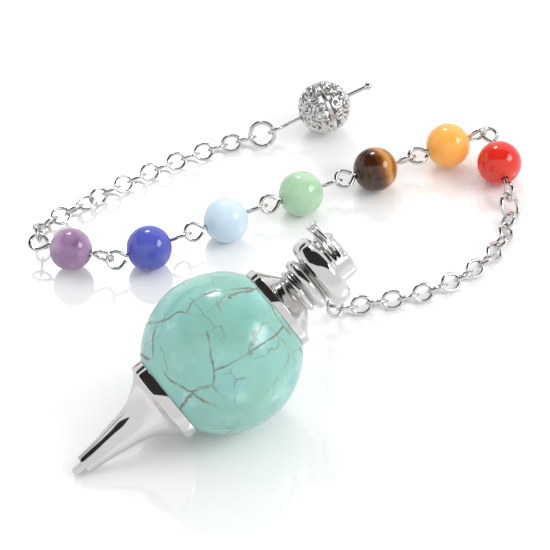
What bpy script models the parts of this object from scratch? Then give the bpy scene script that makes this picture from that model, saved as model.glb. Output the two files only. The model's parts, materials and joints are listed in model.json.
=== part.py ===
"""Dowsing pendulum: a capped stone ball, a cable chain with seven bead links, and a filigree end ball.

It lies on a table, the plane z = 0. Lengths are in metres and +Z is up. The ball rests on the table and the
pendulum leans on the edge of its point. From the ring in the knob the chain hangs to the table and runs
round the ball. Every chain piece starts at the pivot on the piece before it, and its local X runs along it.
"""

import math
from dataclasses import dataclass

import bmesh
import bpy
from mathutils import Matrix, Vector

MM = 0.001

# Stone ball and its two turned caps
BALL_RADIUS = 9.8 * MM
BORE_RADIUS = 1.6 * MM
STUD_RADIUS = 1.25 * MM
STUD_TOP = 9.7 * MM
STUD_HOLE_RADIUS = 1.5 * MM
STUD_HOLE_TOP = 10.6 * MM
CUP_GAP = 0.1 * MM
RIM_RADIUS = 5.5 * MM
LEAN = math.radians(24.0)
HEADING = math.radians(32.0)
TURN_STEPS = 32

# Knob slot and the split ring in it
SLOT_TURN = math.radians(37.0)
SLOT_WIDTH = 2.6 * MM
SLOT_HEIGHT = 1.8 * MM
SLOT_LEVEL = 18.05 * MM
SLOT_OFFSET = 0.65 * MM
SPLIT_RADIUS = 2.55 * MM
SPLIT_WIRE = 0.5 * MM
SPLIT_PITCH = 0.58 * MM
SPLIT_STACK = 1.25 * MM
SPLIT_OFFSET = 2.6 * MM
SPLIT_END = math.radians(100.0)
HANG_TURN = math.radians(46.0)

# Chain
GAP = 0.1 * MM
PIN_WIRE = 0.55 * MM
EYE_RADIUS = 1.12 * MM
PIN_LENGTHS = [13.6 * MM, 12.0 * MM, 12.3 * MM, 12.4 * MM, 12.4 * MM, 12.4 * MM, 12.2 * MM]
BEAD_RADIUS = 3.0 * MM
SMALL_BEAD_RADIUS = 2.8 * MM
BEAD_BORE = 0.45 * MM
TABLE_ROLL = math.radians(45.0)

# Lean of each eye pin and of the first links after the beads, in degrees from flat on the table
PIN_ROLLS = [-78.0, 72.0, 55.0, 45.0, 45.0, 45.0, 72.0]
CORNER_ROLLS = [None, 10.0, -65.0, 33.0, -58.0, 5.0, 68.0]
# At a corner the next piece hangs on the side of the eye: pin name, and degrees round from its far end
SIDE_EXITS = {"eye_pin_1": 84.0, "eye_pin_6": 40.0, "eye_pin_7": 68.0}

# Filigree ball and its pin
FILIGREE_RADIUS = 3.65 * MM
FILIGREE_STRUT = 0.5 * MM
FILIGREE_HOLE = 0.85 * MM
END_PIN_BALL = 7.8 * MM
END_PIN_HEAD = 14.6 * MM
HEAD_RADIUS = 0.6 * MM


@dataclass(frozen=True)
class Ring:
    """A closed wire ring: its outer length and width, and its wire diameter."""

    length: float
    width: float
    wire: float


LINK = Ring(3.08 * MM, 2.6 * MM, 0.45 * MM)
TOP_LINK = Ring(5.7 * MM, 3.2 * MM, 0.55 * MM)
HANGER = Ring(5.4 * MM, 5.4 * MM, 0.65 * MM)
LARGE_RING = Ring(3.9 * MM, 3.9 * MM, 0.6 * MM)
SMALL_RING = Ring(3.0 * MM, 3.0 * MM, 0.5 * MM)
LOOP = Ring(4.3 * MM, 3.3 * MM, 0.55 * MM)

BEADS = [
    ("red", (0.75, 0.03, 0.01)),
    ("yellow", (0.85, 0.42, 0.05)),
    ("tiger_eye", (0.25, 0.09, 0.02)),
    ("green", (0.35, 0.65, 0.38)),
    ("pale_blue", (0.5, 0.72, 0.9)),
    ("blue", (0.04, 0.07, 0.6)),
    ("violet", (0.25, 0.08, 0.35)),
]

# The way of the chain, in millimetres from the point under the ball: from the split ring to the red bead,
# along the other beads in a row, over the last one, and back to the filigree ball
WAYS = [
    [(12.4, 14.1, 13.4), (12.5, 14.9, 10.2), (12.4, 14.9, 7.2), (12.6, 14.7, 4.6), (13.9, 15.0, 2.2),
     (16.2, 16.1, 1.0), (18.5, 17.0, 1.0), (22.0, 17.6, 1.0), (26.0, 19.0, 1.0), (29.5, 20.9, 1.0),
     (32.8, 23.5, 1.0), (35.4, 26.6, 1.0), (37.0, 30.2, 1.0), (37.7, 33.9, 1.3), (37.8, 36.1, 2.6),
     (37.1, 41.8, 3.1), (35.4, 48.0, 3.6)],
    [(30.2, 45.0, 3.0), (20.5, 40.4, 3.0), (10.0, 35.6, 3.0), (0.0, 30.3, 3.0), (-10.2, 24.8, 3.0),
     (-16.0, 21.8, 3.0)],
    [(-20.0, 23.9, 3.0), (-26.1, 26.7, 2.9)],
    [(-24.6, 28.3, 2.8), (-24.4, 29.6, 2.0), (-23.9, 31.0, 1.5), (-22.9, 32.2, 1.3), (-21.4, 33.4, 1.2),
     (-18.6, 35.8, 1.1), (-15.4, 38.4, 1.0), (-10.4, 41.9, 1.0), (-5.2, 45.0, 1.0), (0.0, 47.5, 1.0),
     (2.8, 48.3, 1.3), (5.6, 48.7, 2.1), (8.0, 49.5, 2.7), (12.6, 51.5, 3.7), (19.0, 54.4, 5.4)],
]


@dataclass
class Piece:
    """A chain piece: its node name, the pivot it starts at, its frame, its hinge axis and its far end."""

    name: str
    start: Vector
    frame: Matrix
    hinge: Vector
    end: Vector
    parent: str


def clear_scene():
    for item in list(bpy.data.objects):
        bpy.data.objects.remove(item)


def collection(name):
    made = bpy.data.collections.new(name)
    bpy.context.scene.collection.children.link(made)
    return made


def material(name, colour, roughness, metallic):
    """A plain Principled material of that colour."""
    made = bpy.data.materials.new(name)
    made.use_nodes = True
    shader = made.node_tree.nodes["Principled BSDF"]
    shader.inputs["Base Color"].default_value = (*colour, 1.0)
    shader.inputs["Roughness"].default_value = roughness
    shader.inputs["Metallic"].default_value = metallic
    return made


def place(name, data, matrix, finish, group):
    """A named object of this mesh or curve, with its finish on the object's own slot."""
    made = bpy.data.objects.new(name, data)
    made.matrix_world = matrix
    group.objects.link(made)
    if not data.materials:
        data.materials.append(None)
    made.material_slots[0].link = "OBJECT"
    made.material_slots[0].material = finish
    return made


def turn(made, steps):
    """Turns the profile of this object round its local Z axis into a closed solid."""
    screw = made.modifiers.new("turn", "SCREW")
    screw.steps = screw.render_steps = steps
    screw.use_merge_vertices = True
    screw.merge_threshold = 0.001 * MM
    screw.use_smooth_shade = True


def profile(name, points, ring=False):
    """A mesh of edges through these (radius, height) points, closed into a loop for a bored piece."""
    mesh = bpy.data.meshes.new(name)
    edges = [(i, i + 1) for i in range(len(points) - 1)]
    if ring:
        edges.append((len(points) - 1, 0))
    mesh.from_pydata([(radius, 0.0, height) for radius, height in points], edges, [])
    return mesh


def arc(radius, start, end, count):
    """Points (radius, height) of an arc about the origin, by their angles from the local Z axis."""
    angles = [start + (end - start) * i / count for i in range(count + 1)]
    return [(radius * math.sin(angle), radius * math.cos(angle)) for angle in angles]


def bored_sphere(name, radius, bore, count):
    """The profile of a sphere with a hole through it along its local Z axis."""
    mouth = math.asin(bore / radius)
    return profile(name, arc(radius, mouth, math.pi - mouth, count), ring=True)


def in_mm(points):
    return [(radius * MM, height * MM) for radius, height in points]


def pendulum_frame():
    """The frame of the ball and caps: Z along the axis to the knob, X down to the table across the axis."""
    axis = Vector((math.cos(LEAN) * math.cos(HEADING), math.cos(LEAN) * math.sin(HEADING), math.sin(LEAN)))
    across = Vector((0.0, 0.0, 1.0)).cross(axis).normalized()
    belly = across.cross(axis)
    columns = Matrix((belly, across, axis)).transposed().to_4x4()
    return Matrix.Translation((0.0, 0.0, BALL_RADIUS)) @ columns


def half_step():
    """A turn of half a step, which puts a flat of a turned piece, not an edge, under the axis."""
    return Matrix.Rotation(math.pi / TURN_STEPS, 4, "Z")


def point_cap_outline():
    """The stud, the cup under the ball, the rim and the trumpet down to its stepped point."""
    cup = BALL_RADIUS + CUP_GAP
    at_stud, at_rim = math.asin(STUD_RADIUS / cup), math.asin(RIM_RADIUS / cup)
    bowl = arc(cup, math.pi - at_stud, math.pi - at_rim, 5)
    trumpet = [(5.5, -9.6), (5.15, -9.7), (4.25, -10.3), (3.45, -11.3), (2.7, -12.6), (2.25, -14.0),
               (1.98, -15.6), (1.7, -17.2), (1.46, -18.8), (1.22, -21.3), (0.62, -21.4), (0.5, -22.6),
               (0.3, -22.85), (0.0, -22.9)]
    return [(0.0, STUD_TOP), (STUD_RADIUS, STUD_TOP)] + bowl + in_mm(trumpet)


def top_cap_outline():
    """The knob, the ribbed neck, the trumpet, its rim and the cup on the ball, with a hole for the stud."""
    cup = BALL_RADIUS + CUP_GAP
    at_hole, at_rim = math.asin(STUD_HOLE_RADIUS / cup), math.asin(RIM_RADIUS / cup)
    knob = [(0.0, 19.4), (1.9, 19.4), (2.5, 19.15), (2.75, 18.6), (2.75, 16.8), (3.95, 16.8), (4.4, 16.5),
            (4.6, 15.9), (4.6, 15.3), (4.35, 14.8), (3.9, 14.55), (2.6, 14.45), (2.6, 14.1)]
    ribs = [(3.1, 13.95), (3.4, 13.5), (3.4, 13.0), (3.1, 12.6), (2.5, 12.45), (2.8, 12.25), (2.85, 12.0),
            (2.5, 11.75)]
    trumpet = [(2.75, 11.5), (3.3, 10.95), (4.2, 10.05), (5.15, 9.25), (5.5, 9.15)]
    bowl = arc(cup, at_rim, at_hole, 5)
    return in_mm(knob + ribs + trumpet) + bowl + [(STUD_HOLE_RADIUS, STUD_HOLE_TOP), (0.0, STUD_HOLE_TOP)]


def slot_cutter(frame, cutters):
    """The slot across the knob that the split ring goes through."""
    mesh = bpy.data.meshes.new("knob_slot")
    box = bmesh.new()
    bmesh.ops.create_cube(box, size=1.0, matrix=Matrix.Diagonal((8.0 * MM, SLOT_WIDTH, SLOT_HEIGHT, 1.0)))
    long_edges = [edge for edge in box.edges if abs(edge.verts[0].co.x - edge.verts[1].co.x) > MM]
    bmesh.ops.bevel(box, geom=long_edges, offset=0.5 * MM, segments=2, profile=0.5, affect="EDGES")
    box.to_mesh(mesh)
    box.free()
    cutter = bpy.data.objects.new("knob_slot", mesh)
    turned = Matrix.Rotation(SLOT_TURN, 4, "Z") @ Matrix.Translation((0.0, SLOT_OFFSET, SLOT_LEVEL))
    cutter.matrix_world = frame @ turned
    cutter.hide_render = True
    cutter.display_type = "WIRE"
    cutters.objects.link(cutter)
    return cutter


def wire_curve(name, points, wire, cyclic=False, radii=None):
    """A round wire through these points."""
    curve = bpy.data.curves.new(name, "CURVE")
    curve.dimensions = "3D"
    curve.bevel_depth = wire / 2
    curve.bevel_resolution = 1
    curve.use_fill_caps = not cyclic
    spline = curve.splines.new("POLY")
    spline.points.add(len(points) - 1)
    for i, (target, point) in enumerate(zip(spline.points, points)):
        target.co = (*point, 1.0)
        target.radius = radii[i] if radii else 1.0
    spline.use_cyclic_u = cyclic
    return curve


def split_ring_curve():
    """Two close turns of wire in the local XY plane."""
    count = 36
    points = []
    for i in range(count + 1):
        turned = 2.0 * i / count
        angle = 2.0 * math.pi * turned + SPLIT_END
        rise = SPLIT_PITCH * (turned - 1.0)
        points.append((SPLIT_RADIUS * math.cos(angle), SPLIT_RADIUS * math.sin(angle), rise))
    return wire_curve("split_ring", points, SPLIT_WIRE)


def ring_curve(ring, back):
    """A ring in the local XY plane whose near end lies back behind the pivot."""
    count = 14
    long, wide = (ring.length - ring.wire) / 2, (ring.width - ring.wire) / 2
    angles = [2.0 * math.pi * i / count for i in range(count)]
    points = [(long - back + long * math.cos(angle), wide * math.sin(angle), 0.0) for angle in angles]
    return wire_curve("ring", points, ring.wire, cyclic=True)


def eye_points(back):
    """The near eye of a pin in the local XY plane: from its cut end round to the neck on the axis."""
    centre = EYE_RADIUS - back
    count = 11
    first, last = math.radians(42.0), math.radians(308.0)
    angles = [first + (last - first) * i / count for i in range(count + 1)]
    eye = [(centre + EYE_RADIUS * math.cos(angle), EYE_RADIUS * math.sin(angle), 0.0) for angle in angles]
    neck = centre + 1.45 * EYE_RADIUS
    return eye + [(neck, 0.0, 0.0)]


def eye_pin_curve(length, back):
    """A pin with an eye at each end, the far eye turned a quarter about the pin's axis."""
    near = eye_points(back)
    middle = length / 2 - PIN_WIRE / 2 - back
    far = [(2.0 * middle - x, 0.0, y) for x, y, _ in reversed(near)]
    return wire_curve("eye_pin", near + far, PIN_WIRE)


def end_pin_curve(back):
    """A pin with an eye at its near end and a rounded head past the filigree ball."""
    near = eye_points(back)
    head = [(-0.5, 1.0), (-0.35, 1.8), (0.0, HEAD_RADIUS * 2 / PIN_WIRE), (0.35, 1.8), (0.55, 0.9)]
    points = near + [(END_PIN_HEAD + step * MM, 0.0, 0.0) for step, _ in head]
    radii = [1.0] * len(near) + [size for _, size in head]
    return wire_curve("end_pin", points, PIN_WIRE, radii=radii)


def filigree_mesh():
    """A sphere's lattice with a round hole at each pole, before its struts get their thickness."""
    mesh = bpy.data.meshes.new("filigree_ball")
    ball = bmesh.new()
    shell = FILIGREE_RADIUS - FILIGREE_STRUT / 2
    bmesh.ops.create_uvsphere(ball, u_segments=8, v_segments=7, radius=shell)
    poles = [vertex for vertex in ball.verts if vertex.co.xy.length < 0.01 * MM]
    bmesh.ops.delete(ball, geom=poles, context="VERTS")
    for vertex in ball.verts:
        if abs(vertex.co.z) > 0.8 * shell:
            flat = vertex.co.xy.normalized() * FILIGREE_HOLE
            height = math.copysign(math.sqrt(shell**2 - FILIGREE_HOLE**2), vertex.co.z)
            vertex.co = (flat.x, flat.y, height)
    ball.to_mesh(mesh)
    ball.free()
    return mesh


def smooth_way(points, count=24):
    """A smooth curve through these points, as many short steps."""
    ends = [points[0] * 2 - points[1]] + points + [points[-1] * 2 - points[-2]]
    way = []
    for a, b, c, d in zip(ends, ends[1:], ends[2:], ends[3:]):
        for i in range(count):
            s = i / count
            way.append(0.5 * (2 * b + (c - a) * s + (2 * a - 5 * b + 4 * c - d) * s**2
                              + (3 * b - a - 3 * c + d) * s**3))
    way.append(points[-1])
    return way


class Walk:
    """Steps of given lengths along a smooth way from a start, each end on the way."""

    def __init__(self, start, points):
        self.at = start
        self.way = smooth_way([start] + [Vector(point) * MM for point in points])
        self.leg = 0

    def step(self, length):
        """The next point of the way that lies this far from the last one."""
        while self.leg < len(self.way) - 2 and (self.way[self.leg + 1] - self.at).length < length:
            self.leg += 1
        near, far = self.way[self.leg], self.way[self.leg + 1]
        low, high = 0.0, 1.0
        if (far - self.at).length < length:
            self.at = self.at + (far - self.at).normalized() * length
            return self.at
        for _ in range(40):
            middle = (low + high) / 2
            if (near.lerp(far, middle) - self.at).length < length:
                low = middle
            else:
                high = middle
        self.at = near.lerp(far, high)
        return self.at


def piece_frame(start, along, normal):
    """The frame of a piece: X along it, Z as close to the wanted normal as X allows."""
    up = (normal - normal.dot(along) * along).normalized()
    return Matrix.Translation(start) @ Matrix((along, up.cross(along), up)).transposed().to_4x4()


def rolled(along, roll):
    """The direction square to the way that leans this far from upright, to its right for a positive roll."""
    right = along.cross(Vector((0.0, 0.0, 1.0))).normalized()
    up = right.cross(along)
    return up * math.cos(roll) + right * math.sin(roll)


def chain_plan():
    """The pieces past the split ring in order: name, size, pin or ring, roll, or the normal while it hangs."""
    plan = [
        ("hanger_link", TOP_LINK, Vector((-0.48, 0.79, 0.37))),
        ("hanger_ring_1", HANGER, None),
        ("hanger_ring_2", HANGER, Vector((-0.8, 0.55, 0.0))),
        ("hanger_loop", LOOP, Vector((0.5, 0.85, 0.2))),
        ("jump_ring_1", SMALL_RING, Vector((0.68, -0.5, 0.5))),
    ]
    for i in range(1, 16):
        plan.append((f"chain_a_{i:02d}", LINK, TABLE_ROLL if i % 2 == 0 else -TABLE_ROLL))
    plan.append(("jump_ring_2", LARGE_RING, TABLE_ROLL))
    for i, roll in enumerate(PIN_ROLLS):
        plan.append((f"eye_pin_{i + 1}", PIN_LENGTHS[i], math.radians(roll)))
    for i in range(1, 19):
        roll = TABLE_ROLL if i % 2 == 0 else -TABLE_ROLL
        if i > len(CORNER_ROLLS):
            roll -= math.pi / 2
        elif CORNER_ROLLS[i - 1] is None:
            roll = None
        else:
            roll = math.radians(CORNER_ROLLS[i - 1])
        plan.append((f"chain_b_{i:02d}", LINK, roll))
    plan.append(("jump_ring_3", LARGE_RING, TABLE_ROLL - math.pi))
    plan.append(("end_pin", None, -TABLE_ROLL))
    return plan


def lay_chain(first, first_axis):
    """Works out where each chain piece lies, from the pivot on the split ring to the end pin."""
    ways = iter(WAYS)
    walk = Walk(first, next(ways))
    pieces = []
    hinge, wire, parent = first_axis, SPLIT_STACK, "split_ring"
    for number, (name, size, lean) in enumerate(chain_plan()):
        own_wire = size.wire if isinstance(size, Ring) else PIN_WIRE
        back = (wire + own_wire) / 2 + GAP
        length = size.length if isinstance(size, Ring) else size or END_PIN_HEAD + back
        start = walk.at.copy()
        end = walk.step(length - own_wire - back).copy()
        along = (end - start).normalized()
        normal = hinge if lean is None else lean if isinstance(lean, Vector) else rolled(along, lean)
        frame = piece_frame(start, along, normal)
        sign = 1.0 if number % 4 < 2 else -1.0
        pieces.append(Piece(name, start, frame, (hinge * sign).normalized(), end, parent))
        across = (frame.col[1].xyz if isinstance(size, Ring) else frame.col[2].xyz).copy()
        if name in SIDE_EXITS:
            turned = math.radians(SIDE_EXITS[name])
            centre = end - along * EYE_RADIUS
            exit_point = centre + (along * math.cos(turned) + across * math.sin(turned)) * EYE_RADIUS
            walk = Walk(exit_point, next(ways))
            across = across * math.cos(turned) - along * math.sin(turned)
        hinge, wire, parent = across, own_wire, name
    return pieces


def backs():
    """How far each chain piece's near end lies behind its pivot."""
    found, wire = {}, SPLIT_STACK
    for name, size, _ in chain_plan():
        own_wire = size.wire if isinstance(size, Ring) else PIN_WIRE
        found[name] = (wire + own_wire) / 2 + GAP
        wire = own_wire
    return found


def build_pendulum(frame, silver, stone, parts, cutters):
    """The stone ball between its two caps, and the split ring in the knob."""
    turned = frame @ half_step()
    ball = place("stone_ball", bored_sphere("stone_ball", BALL_RADIUS, BORE_RADIUS, 16), turned, stone, parts)
    point = place("point_cap", profile("point_cap", point_cap_outline()), turned, silver, parts)
    top = place("top_cap", profile("top_cap", top_cap_outline()), turned, silver, parts)
    for made in (ball, point, top):
        turn(made, TURN_STEPS)
    cut = top.modifiers.new("slot", "BOOLEAN")
    cut.operation = "DIFFERENCE"
    cut.solver = "EXACT"
    cut.object = slot_cutter(frame, cutters)
    place("split_ring", split_ring_curve(), split_ring_matrix(frame), silver, parts)


def split_ring_matrix(frame):
    """The split ring's frame: its centre beside the knob, its plane square to the pendulum's axis."""
    return frame @ Matrix.Rotation(SLOT_TURN, 4, "Z") @ Matrix.Translation((0.0, SPLIT_OFFSET, SLOT_LEVEL))


def hang_point(frame):
    """Where the first hanger ring hangs on the split ring's wire, and the wire's direction there."""
    matrix = split_ring_matrix(frame)
    turned = HANG_TURN - SLOT_TURN
    level = SPLIT_PITCH * ((turned - SPLIT_END) / (2.0 * math.pi) + 0.5)
    point = Vector((SPLIT_RADIUS * math.cos(turned), SPLIT_RADIUS * math.sin(turned), level))
    return matrix @ point, matrix.to_3x3() @ Vector((-math.sin(turned), math.cos(turned), 0.0))


def build_chain(pieces, silver, parts):
    """The rings, links, eye pins and beads of the chain, each with its origin on its pivot."""
    sizes = {name: size for name, size, _ in chain_plan()}
    back = backs()
    curves = {}
    for piece in pieces:
        size = sizes[piece.name]
        key = (size, round(back[piece.name] / MM, 3))
        if key not in curves:
            if isinstance(size, Ring):
                curves[key] = ring_curve(size, back[piece.name])
            elif size:
                curves[key] = eye_pin_curve(size, back[piece.name])
            else:
                curves[key] = end_pin_curve(back[piece.name])
        place(piece.name, curves[key], piece.frame, silver, parts)


def bead_matrix(piece, length, back):
    """The frame of a bead on its pin: Z along the pin, origin at the bead's centre."""
    centre = length / 2 - PIN_WIRE / 2 - back
    return piece.frame @ Matrix.Translation((centre, 0.0, 0.0)) @ Matrix.Rotation(math.pi / 2, 4, "Y")


def build_beads(pieces, parts):
    sizes = {name: size for name, size, _ in chain_plan()}
    back = backs()
    radii = (BEAD_RADIUS, SMALL_BEAD_RADIUS)
    meshes = {radius: bored_sphere("bead", radius, BEAD_BORE, 9) for radius in radii}
    pins = [piece for piece in pieces if piece.name.startswith("eye_pin")]
    for (colour_name, colour), pin in zip(BEADS, pins):
        radius = SMALL_BEAD_RADIUS if colour_name == "violet" else BEAD_RADIUS
        finish = material(f"{colour_name}_stone", colour, 0.12, 0.0)
        matrix = bead_matrix(pin, sizes[pin.name], back[pin.name])
        turn(place(f"bead_{colour_name}", meshes[radius], matrix, finish, parts), 16)


def build_filigree_ball(end_pin, silver, parts):
    middle = Matrix.Translation((END_PIN_BALL, 0.0, 0.0)) @ Matrix.Rotation(math.pi / 2, 4, "Y")
    ball = place("filigree_ball", filigree_mesh(), end_pin.frame @ middle, silver, parts)
    struts = ball.modifiers.new("struts", "WIREFRAME")
    struts.thickness = FILIGREE_STRUT
    struts.use_boundary = True
    struts.use_even_offset = False


def centre_on_origin(parts):
    """Moves everything so that the origin is at the middle of the bottom of the object's box."""
    bpy.context.view_layer.update()
    graph = bpy.context.evaluated_depsgraph_get()
    corners = []
    for made in parts.objects:
        shape = made.evaluated_get(graph)
        mesh = shape.to_mesh()
        corners.extend(shape.matrix_world @ vertex.co for vertex in mesh.vertices)
        shape.to_mesh_clear()
    low = Vector([min(corner[i] for corner in corners) for i in range(3)])
    high = Vector([max(corner[i] for corner in corners) for i in range(3)])
    shift = Vector((-(low.x + high.x) / 2, -(low.y + high.y) / 2, -low.z))
    for made in list(bpy.data.objects):
        made.matrix_world = Matrix.Translation(shift) @ made.matrix_world
    return shift


def build():
    """Builds the whole pendulum, and returns its chain pieces, the pendulum's frame and the last shift."""
    clear_scene()
    parts, cutters = collection("dowsing_pendulum"), collection("cutters")
    silver = material("silver_plate", (0.82, 0.81, 0.8), 0.1, 1.0)
    stone = material("turquoise", (0.3, 0.75, 0.68), 0.15, 0.0)
    frame = pendulum_frame()
    build_pendulum(frame, silver, stone, parts, cutters)
    first, first_axis = hang_point(frame)
    pieces = lay_chain(first, first_axis)
    build_chain(pieces, silver, parts)
    build_beads(pieces, parts)
    build_filigree_ball(pieces[-1], silver, parts)
    return pieces, frame, centre_on_origin(parts)


if __name__ == "__main__":
    build()
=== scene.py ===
"""The looks of a dowsing pendulum: stone ball, turned silver caps, cable chain, seven stone beads and a filigree ball.

Every length is in metres and +Z is up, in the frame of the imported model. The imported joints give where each
chain piece hangs and which way it lies, so the pieces here follow them.
"""

import json
import logging
import math
from dataclasses import dataclass, field
from enum import Enum
from typing import Any, Iterable, Sequence, Union

import bmesh
import bpy
from mathutils import Matrix, Vector

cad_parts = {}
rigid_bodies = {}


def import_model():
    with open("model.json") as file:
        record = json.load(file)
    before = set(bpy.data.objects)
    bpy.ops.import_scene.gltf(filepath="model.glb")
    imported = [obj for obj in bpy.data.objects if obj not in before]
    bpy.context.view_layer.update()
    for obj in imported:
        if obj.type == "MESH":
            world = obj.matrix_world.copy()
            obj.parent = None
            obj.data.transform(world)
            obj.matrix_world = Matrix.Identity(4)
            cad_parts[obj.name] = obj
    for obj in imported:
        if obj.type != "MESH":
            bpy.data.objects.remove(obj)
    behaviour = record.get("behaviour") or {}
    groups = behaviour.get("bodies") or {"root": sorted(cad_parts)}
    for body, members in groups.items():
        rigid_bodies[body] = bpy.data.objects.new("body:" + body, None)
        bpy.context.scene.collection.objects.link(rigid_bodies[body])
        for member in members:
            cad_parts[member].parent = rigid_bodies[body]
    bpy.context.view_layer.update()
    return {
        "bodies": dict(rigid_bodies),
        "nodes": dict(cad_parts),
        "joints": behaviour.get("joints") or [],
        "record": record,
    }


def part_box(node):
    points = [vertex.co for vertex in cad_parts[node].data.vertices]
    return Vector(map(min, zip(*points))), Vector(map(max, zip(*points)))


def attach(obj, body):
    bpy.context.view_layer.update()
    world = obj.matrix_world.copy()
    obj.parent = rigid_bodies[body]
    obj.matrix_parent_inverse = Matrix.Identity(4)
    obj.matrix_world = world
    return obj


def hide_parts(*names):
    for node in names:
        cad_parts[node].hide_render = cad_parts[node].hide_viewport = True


LOG = logging.getLogger("pendulum")
MM = 0.001
Number = Union[float, int]
Colour = tuple[float, float, float]


def linear(red: int, green: int, blue: int) -> Colour:
    """A display colour from 0 to 255 as the linear colour that shaders take.

    Args:
        red: the red part.
        green: the green part.
        blue: the blue part.

    Returns:
        The three linear parts, from 0 to 1.
    """
    parts = [part / 255 for part in (red, green, blue)]
    found = [part / 12.92 if part <= 0.04045 else ((part + 0.055) / 1.055) ** 2.4 for part in parts]
    return found[0], found[1], found[2]


# ---------------------------------------------------------------------------------------------- node trees


class Graph:
    """A node tree that is filled in by short calls."""

    def __init__(self, tree: bpy.types.NodeTree) -> None:
        """Keeps the tree and empties it."""
        self.tree = tree
        self.tree.nodes.clear()

    def node(self, kind: str, settings: dict[str, Any] | None = None, values: dict[Any, Any] | None = None) -> Any:
        """Adds one node.

        Args:
            kind: the node's type name.
            settings: properties that are set before the sockets; "stops" holds a ramp's colour stops.
            values: socket name or number to a constant, a socket or a Term.

        Returns:
            The new node.
        """
        made = self.tree.nodes.new(kind)
        for name, value in (settings or {}).items():
            if name == "stops":
                self.fill_ramp(made.color_ramp, value)
            else:
                setattr(made, name, value)
        for name, value in (values or {}).items():
            self.feed(made.inputs[name], value)
        return made

    def feed(self, socket: Any, value: Any) -> None:
        """Links a socket or a Term to this socket, or sets the socket's constant."""
        if isinstance(value, Term):
            self.tree.links.new(value.socket, socket)
        elif isinstance(value, bpy.types.NodeSocket):
            self.tree.links.new(value, socket)
        elif socket.type == "RGBA" and len(value) == 3:
            socket.default_value = (*value, 1.0)
        else:
            socket.default_value = value

    @staticmethod
    def fill_ramp(ramp: Any, stops: Sequence[tuple[float, Colour]]) -> None:
        """Sets a ramp's stops, each a place and a colour."""
        while len(ramp.elements) > 1:
            ramp.elements.remove(ramp.elements[-1])
        for index, (place, colour) in enumerate(stops):
            element = ramp.elements[0] if index == 0 else ramp.elements.new(place)
            element.position = place
            element.color = (*colour, 1.0)

    def term(self, socket: Any) -> "Term":
        """A number socket as something to calculate with."""
        return Term(self, socket)


class Term:
    """A number in a node tree. Python's operators on it add Math nodes."""

    def __init__(self, graph: Graph, socket: Any) -> None:
        """Keeps the tree that it lives in and its socket."""
        self.graph = graph
        self.socket = socket

    def join(self, operation: str, first: Any, second: Any = None) -> "Term":
        """A Math node of this operation on one or two values."""
        values = {0: first} if second is None else {0: first, 1: second}
        made = self.graph.node("ShaderNodeMath", {"operation": operation}, values)
        return Term(self.graph, made.outputs[0])

    def __add__(self, other: Any) -> "Term":
        """self + other."""
        return self.join("ADD", self, other)

    __radd__ = __add__

    def __sub__(self, other: Any) -> "Term":
        """self - other."""
        return self.join("SUBTRACT", self, other)

    def __rsub__(self, other: Any) -> "Term":
        """other - self."""
        return self.join("SUBTRACT", other, self)

    def __mul__(self, other: Any) -> "Term":
        """self * other."""
        return self.join("MULTIPLY", self, other)

    __rmul__ = __mul__

    def __truediv__(self, other: Any) -> "Term":
        """self / other."""
        return self.join("DIVIDE", self, other)

    def __rtruediv__(self, other: Any) -> "Term":
        """other / self."""
        return self.join("DIVIDE", other, self)

    def __pow__(self, other: Any) -> "Term":
        """self to the power of other."""
        return self.join("POWER", self, other)

    def rising(self, low: float, high: float) -> "Term":
        """0 below low, 1 above high and smooth between them; falling where low is over high."""
        down = low > high
        span = {"From Min": min(low, high), "From Max": max(low, high)}
        ends = {"To Min": 1.0 if down else 0.0, "To Max": 0.0 if down else 1.0}
        made = self.graph.node(
            "ShaderNodeMapRange", {"interpolation_type": "SMOOTHSTEP"}, {"Value": self, **span, **ends}
        )
        return Term(self.graph, made.outputs[0])


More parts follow.
